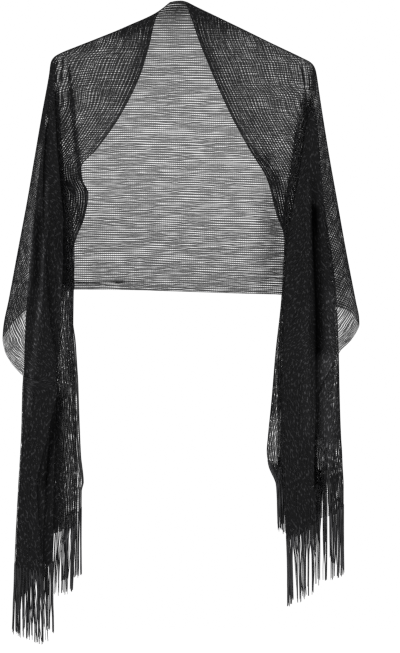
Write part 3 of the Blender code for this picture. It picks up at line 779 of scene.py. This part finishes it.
def sheerMaterial(name, low, size, parted, calm):
    finish = Finish(name, roughness=0.6, specular=0.0)
    calc, spread = finish.calc, finish.spread

    def spot(x, y):
        node = finish.add("CombineXYZ")
        finish.put(x, node.inputs[0])
        finish.put(y, node.inputs[1])
        return node.outputs[0]

    def noiseOver(length, width, shift):
        # over the flat cloth, with patches of this length and width; each shift is another pattern
        return finish.noise(spot(calc("MULTIPLY_ADD", along, 1 / length, shift),
                                 calc("MULTIPLY_ADD", across, 1 / width, shift * 1.7)))

    split = finish.add("SeparateXYZ")
    finish.put(finish.add("UVMap", uv_map="threads").outputs["UV"], split.inputs[0])
    along = calc("MULTIPLY_ADD", split.outputs[0], size, low)
    across = calc("MULTIPLY", split.outputs[1], cut["width"])
    close = finish.add("Attribute", attribute_name="closeness").outputs["Fac"]
    # painted highlight and shade of the folds, which scales the base colour below
    paintedLightShade = finish.add("Attribute", attribute_name="paintedLightShade").outputs["Fac"]

    # the long yarns lie in pairs, and each pair parts from its neighbours or bunches with them by
    # an amount of its own, which changes slowly along it
    length, width, strength = weave["sway"]
    sway = noiseOver(length, width, 3.1)
    phase = calc("MULTIPLY_ADD", across, 1 / weave["pitch"], calc("MULTIPLY", sway, strength))
    inPair = calc("FRACT", phase)
    ownSpot = calc("MULTIPLY", calc("FLOOR", phase), 5.17)  # far apart in the noise
    own = finish.noise(spot(calc("MULTIPLY", along, 1 / weave["partLength"]), ownSpot), detail=2.0)
    part = calc("MULTIPLY_ADD", calc("SUBTRACT", own, 0.5), parted, weave["even"])
    part = calc("MINIMUM", calc("MAXIMUM", part, -weave["partMost"]), weave["partMost"])
    part = calc("MULTIPLY", part, spread(close, *weave["partClose"]))
    calmness = spread(across, 0.1 * calm, calm, weave["calm"], 1.0)
    if low > 0:  # a front, which is calm by the neck only
        calmness = calc("MAXIMUM", calmness, spread(along, *weave["calmAlong"], weave["calm"], 1.0))
    part = calc("MULTIPLY", part, calmness)
    turned = calc("MULTIPLY", inPair, 2 * math.pi)
    drawn = calc("MULTIPLY", calc("MULTIPLY", part, calc("SINE", turned)), -1 / (2 * math.pi))
    moved = calc("ADD", inPair, drawn)
    crowding = calc("SUBTRACT", 1.0, calc("MULTIPLY", part, calc("COSINE", turned)))
    fromYarn = calc("ABSOLUTE", calc("SUBTRACT", calc("FRACT", calc("MULTIPLY", moved, 2.0)), 0.5))
    length, width, strength = weave["fuzz"]
    yarnShare = weave["yarn"] / weave["pitch"]
    thickness = calc("MULTIPLY_ADD", noiseOver(length, width, 23.7), strength * yarnShare,
                     weave["thinnest"] * yarnShare)
    half = calc("MULTIPLY", calc("MULTIPLY", crowding, close), thickness)
    soft = weave["yarnEdge"]
    longYarn = spread(calc("SUBTRACT", half, fromYarn), -soft, soft, 0.0, 1.0, smooth=True)

    # cross threads, evenly spaced and thinner
    length, width, strength = weave["lean"]
    lean = noiseOver(length, width, 5.9)
    phase = calc("MULTIPLY_ADD", along, 1 / weave["crossPitch"], calc("MULTIPLY", lean, strength))
    fromThread = calc("ABSOLUTE", calc("SUBTRACT", calc("FRACT", phase), 0.5))
    half = calc("MULTIPLY", close, weave["crossThread"] / weave["crossPitch"] / 2)
    soft = weave["crossEdge"]
    crossThread = spread(calc("SUBTRACT", half, fromThread), -soft, soft, 0.0, 1.0, smooth=True)

    # a cord with soft edges along each selvedge, thinner along the outer one
    cord, toOuter = weave["selvedge"], cut["width"]
    inner = spread(across, cord * 0.8, cord * 1.2, weave["innerCord"], 0.0)
    outer = spread(across, toOuter - cord * 0.7, toOuter - cord * 0.4, 0.0, weave["outerCord"])

    more = weave["denser"]
    dense = calc("MULTIPLY_ADD", close, more, weave["dense"] - more, clamp=True)
    cover = calc("MULTIPLY", calc("MAXIMUM", longYarn, crossThread), dense)
    finish.put(calc("MAXIMUM", cover, calc("MAXIMUM", inner, outer)), finish.inputs["Alpha"])

    # fine metallic glints painted into the base colour as a painted highlight, stronger along the painted
    # highlight lines
    lit = (paintedLightShade, 1.0, weave["lightest"])
    shine = spread(noiseOver(*weave["glintSize"], 41.0), *weave["glintNoise"], 0.0, 1.0)
    shine = calc("MULTIPLY", shine, spread(close, *weave["glintClose"]))
    shine = calc("MULTIPLY", shine, spread(*lit, 1.0, weave["glintGain"]))
    # the base colour, scaled by the painted light and shade of the folds
    tone = finish.add("VectorMath", operation="SCALE")
    finish.put(finish.mix(shine, weave["black"], weave["glint"]), tone.inputs[0])
    gain = calc("ADD", spread(paintedLightShade, 0.0, 1.0, 0.0, 1.0), spread(*lit, 0.0, weave["lightGain"]))
    finish.put(gain, tone.inputs["Scale"])
    finish.put(tone.outputs["Vector"], finish.inputs["Base Color"])
    return finish.material


# The back is one sheet, whose rows run from the left side over the middle to the right.

halves, alongSides = [], []
for side in (left, right):
    points, along, across = backGrid(side)
    close = backCloseness(side, points, sideRows()[:, None])
    halves.append((points, along * side.sign, across, close))
    alongSides.append(along[:, -1])
points, along, across, close = [np.concatenate([a[:, :0:-1], b], axis=1) for a, b in zip(*halves)]
backSpan = float(np.abs(along).max())
span = (-backSpan, 2 * backSpan)
backCloth = clothMesh("stoleBack", points, along, across, span, close, np.ones(close.shape))
backCloth.data.materials.append(sheerMaterial("sheerBack", *span, weave["partBack"], weave["calmBack"]))
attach(backCloth, "root")
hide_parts("back")
print("back laid")

fronts = {}
for side, name, alongSide in zip((left, right), ("Left", "Right"), alongSides):
    points, drops, places = frontGrid(side)
    along, across = frontThreads(side, points, drops, places, alongSide)
    low, high = float(along.min()), float(along.max())
    span = (low, high - low)
    close, paintedLightShade = frontCloseness(side, points, drops, places, across), frontPaintedLightShade(side, points, drops)
    grids = (points, along, across, close, paintedLightShade)
    if side is left:  # so that its faces point outwards too
        grids = [grid[:, ::-1] for grid in grids]
    points, along, across, close, paintedLightShade = grids
    cloth = clothMesh("stole" + name, points, along, across, span, close, paintedLightShade)
    material = sheerMaterial("sheer" + name, *span, weave["partFront"], weave["calmFront"])
    cloth.data.materials.append(material)
    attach(cloth, "root")
    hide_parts("shoulder_" + name.lower(), "tail_" + name.lower())
    fronts[name] = (cloth, low, high)
    print("front", name, "threads from", round(low), "to", round(high), "mm")


# Loose strands in clumps, with gaps between some of them

fringe = {
    "radius": 0.54,  # of a strand, mm
    "uneven": 0.16,  # how much the strands' thickness differs
    "thinnest": 0.6,
    "tip": 0.3,  # how much thinner a strand is at its end
    "spacing": 0.3,  # how unevenly the strands are spaced
    "doubled": (0.09, 0.045),  # this share of them by the inner selvedge, over this share of the width
    "clump": (1.9, 1.4),  # strands that cling together, on average, and how much that differs
    "cling": 0.3,  # how close to each other they come,
    "clinging": (0.4, 1.15),  # and the least and most of it
    "longer": (-1.5, 2.0),  # how much longer a clump is than the fringe, and how much that differs
    "longest": 3.0,
    "ownLength": 1.8,  # how much the lengths differ within a clump
    "lean": 0.8,  # how much the clumps lean,
    "sway": 0.45,  # and the strands sway
    "knot": 9.0,  # how far above the end of the weave the strands may start
    "points": 14,  # along a strand
    "joined": 1.3,  # how soon they have come together
    "wave": 5,  # how quickly a strand sways
    "room": (2.4, 0.45),  # how wide a gap draws strands aside, and how much of the way
    "roomFades": (25, 30),  # how softly it opens and closes
    "black": (0.005, 0.005, 0.0055, 1),
    # colour of the lighter streaks, partly the yarn's own grey and partly painted sheen
    "light": (0.085, 0.085, 0.09, 1),
    "toneSheenStreak": (0.0011, 0.0016, 0.028),  # size of the lighter streaks, m: the yarn's own uneven tone and partly painted sheen
    "toneSheenStreakNoise": (0.45, 0.78),  # from where to where in the noise they grow light
}


def strandGroups(dice, count):
    average, spread = fringe["clump"]
    groups, i = [], 0
    while i < count:
        size = max(1, min(count - i, round(dice.gauss(average, spread))))
        groups.append(list(range(i, i + size)))
        i += size
    return groups


def partStrands(side, path, drops):
    # strands beside a gap are drawn away from its middle
    (reach, share), (opening, closing) = fringe["room"], fringe["roomFades"]
    for at, half, top, bottom in side.sizes["partings"]:
        fade = rise(drops, top, opening) * ease((bottom + closing - drops) / closing)
        away = path[:, 0] - side.sign * at
        room = np.maximum(reach * half - np.abs(away), 0) * share
        path[:, 0] += np.where(away[-1] > 0, 1, -1) * room * fade


def fringeOf(side, name, seed):
    dice = random.Random(seed)
    curve = bpy.data.curves.new("fringe" + name, "CURVE")
    curve.dimensions = "3D"
    curve.bevel_depth = fringe["radius"] * mm
    curve.bevel_resolution = 1
    places = np.linspace(0, side.layers, 400)
    shares = side.widthShare(places)
    n, uneven = side.sizes["strands"], fringe["spacing"]
    even = [(i + 0.5 + dice.uniform(-uneven, uneven)) / n for i in range(n)]
    doubled, over = fringe["doubled"]
    place = np.interp(np.interp(even, (0, doubled, 1), (0, over, 1)), shares, places)
    t = np.linspace(0, 1, fringe["points"])
    for group in strandGroups(dice, n):
        middle = float(np.mean([place[k] for k in group]))
        groupLength = cut["fringe"] + dice.gauss(*fringe["longer"])
        lean = dice.gauss(0, fringe["lean"])
        for k in group:
            header = float(side.headerDrop(place[k]))
            start = header - dice.uniform(1, fringe["knot"])
            length = min(groupLength + dice.gauss(0, fringe["ownLength"]), cut["fringe"] + fringe["longest"])
            cling = fringe["cling"] * dice.uniform(*fringe["clinging"])
            sway = dice.gauss(0, fringe["sway"])
            thick = max(fringe["thinnest"], dice.gauss(1.0, fringe["uneven"]))
            drops = start + (header - start + length) * t
            own = side.frontPoint(drops, np.full(len(t), place[k]))
            centre = side.frontPoint(drops, np.full(len(t), middle))
            path = own + (centre - own) * (ease(t * fringe["joined"]) * cling)[:, None]
            path[:, 0] += lean * t ** 2 + sway * np.sin(t * fringe["wave"] + k) * t
            partStrands(side, path, drops)
            path[:, 2] = -drops
            line = curve.splines.new("POLY")
            line.points.add(len(t) - 1)
            for j, point in enumerate(path):
                line.points[j].co = (*(point * mm), 1)
                line.points[j].radius = thick * (1.0 - fringe["tip"] * t[j] ** 6)
    obj = bpy.data.objects.new("fringe" + name, curve)
    bpy.context.collection.objects.link(obj)
    bpy.ops.object.select_all(action="DESELECT")
    obj.select_set(True)
    bpy.context.view_layer.objects.active = obj
    bpy.ops.object.convert(target="MESH")
    return bpy.context.view_layer.objects.active


def fringeMaterial():
    finish = Finish("fringeYarn", roughness=0.5, specular=0.2)
    place = finish.add("Mapping")
    place.inputs["Scale"].default_value = [1 / size for size in fringe["toneSheenStreak"]]
    finish.put(finish.add("TexCoord").outputs["Object"], place.inputs["Vector"])
    noise = finish.noise(place.outputs["Vector"], dimensions="3D")
    # lighter streaks down the strands: the yarn's own uneven tone and partly painted sheen
    toneSheenStreak = finish.spread(noise, *fringe["toneSheenStreakNoise"], 0.0, 1.0)
    finish.put(finish.mix(toneSheenStreak, fringe["black"], fringe["light"]), finish.inputs["Base Color"])
    return finish.material


yarnBlack = fringeMaterial()
for side, name, seed, area in ((left, "Left", 3, 0.314), (right, "Right", 8, 0.271)):
    strands = fringeOf(side, name, seed)
    strands.data.materials.append(yarnBlack)
    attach(strands, "root")
    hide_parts("fringe_" + name.lower())
    cloth, low, high = fronts[name]
    print("fringe", name)

studio = {
    "floorSize": 30.0,  # all in metres
    "floorLevel": -1.42,
    "floorTone": (0.9, 0.9, 0.9, 1),
    "sun": 0.8,
    "sunWidth": 30,  # degrees
    "sunTilt": (40, -20),
    "away": 14.0,  # from the camera to the middle of the stole
    "viewHeight": 0.9795,  # height of the frame at the stole
    "aim": (0.03, -0.47775),  # its middle, sideways and up
}

bpy.ops.mesh.primitive_plane_add(size=studio["floorSize"], location=(0, 0, studio["floorLevel"]))
floor = bpy.context.object
floor.name = "floor"
pale = Finish("paleFloor", roughness=0.9)
pale.put(studio["floorTone"], pale.inputs["Base Color"])
floor.data.materials.append(pale.material)

scene = bpy.context.scene
scene.view_settings.view_transform = "Standard"
world = bpy.data.worlds.new("studio")
scene.world = world
world.use_nodes = True
world.node_tree.nodes["Background"].inputs["Color"].default_value = (1, 1, 1, 1)

sun = bpy.data.lights.new("softKey", "SUN")
sun.energy = studio["sun"]
sun.angle = math.radians(studio["sunWidth"])
key = bpy.data.objects.new("softKey", sun)
key.rotation_euler = [math.radians(angle) for angle in (*studio["sunTilt"], 0)]
bpy.context.collection.objects.link(key)

camera = bpy.data.cameras.new("camera")
camera.lens = camera.sensor_width * studio["away"] / studio["viewHeight"]
view = bpy.data.objects.new("camera", camera)
view.location = (studio["aim"][0], -studio["away"], studio["aim"][1])
view.rotation_euler = (math.radians(90), 0, 0)
bpy.context.collection.objects.link(view)
scene.camera = view
scene.cycles.use_denoising = False
scene.cycles.filter_width = 1.3
print("stage set")
